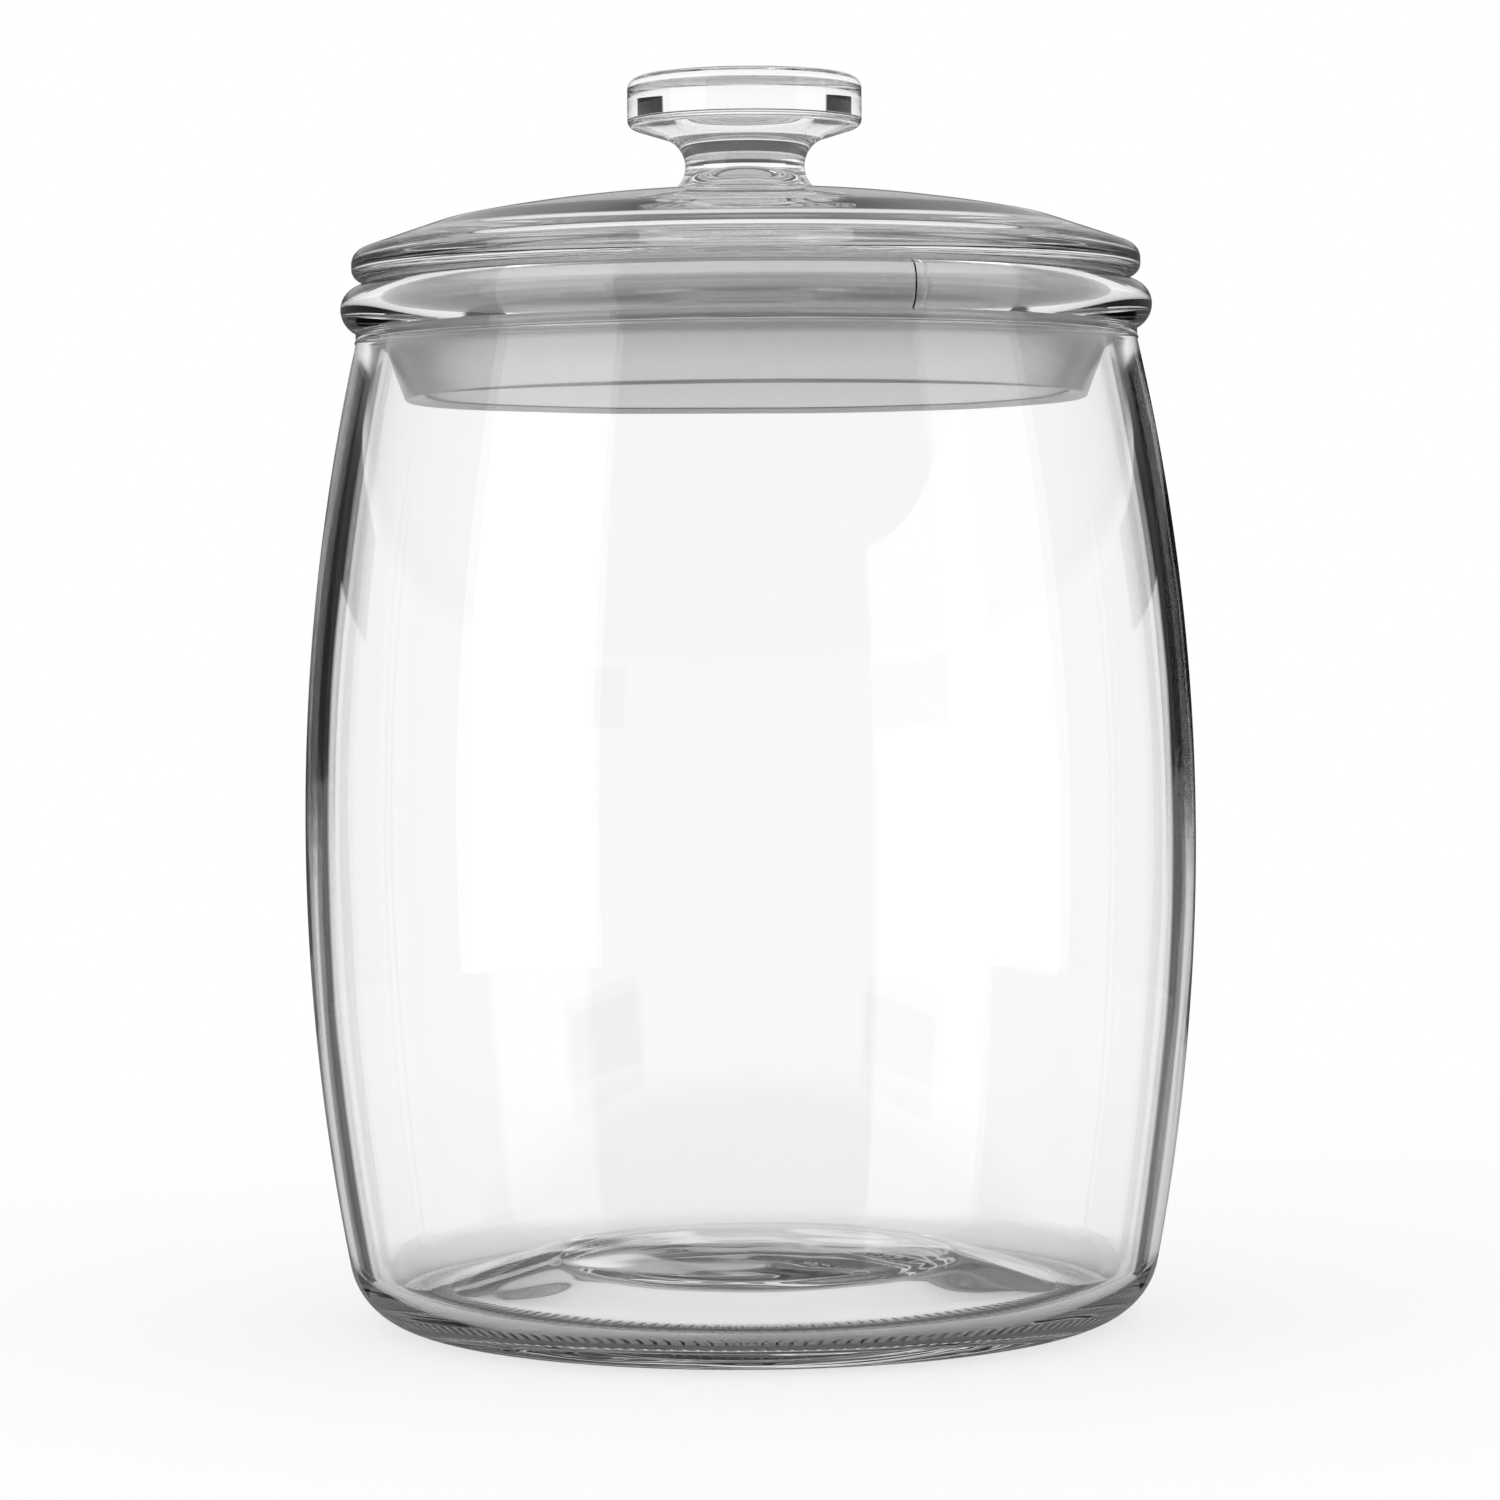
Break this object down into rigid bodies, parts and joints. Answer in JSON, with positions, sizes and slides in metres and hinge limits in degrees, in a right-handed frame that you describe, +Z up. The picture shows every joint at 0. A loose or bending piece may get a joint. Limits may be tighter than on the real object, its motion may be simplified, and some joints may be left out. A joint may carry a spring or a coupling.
{
  "type": "lidded glass storage jar",
  "caption": "Barrel-shaped clear glass storage jar with a beaded rim, a domed glass lid with a disc knob, and a translucent sealing ring in the mouth.",
  "frame": {"origin": "middle of the foot, on the surface that the jar stands on", "axes": "+Z up along the axis of the jar and lid; the jar is round, so +X and +Y are free"},
  "size_m": [0.175, 0.175, 0.2438],
  "materials": {
    "clear_glass": "clear, fire-polished",
    "lid_glass": "clear, pressed",
    "seal_plastic": "soft, milky translucent"
  },
  "bodies": {
    "root": {"jar": "clear_glass", "lid": "lid_glass", "seal": "seal_plastic"}
  },
  "joints": []
}
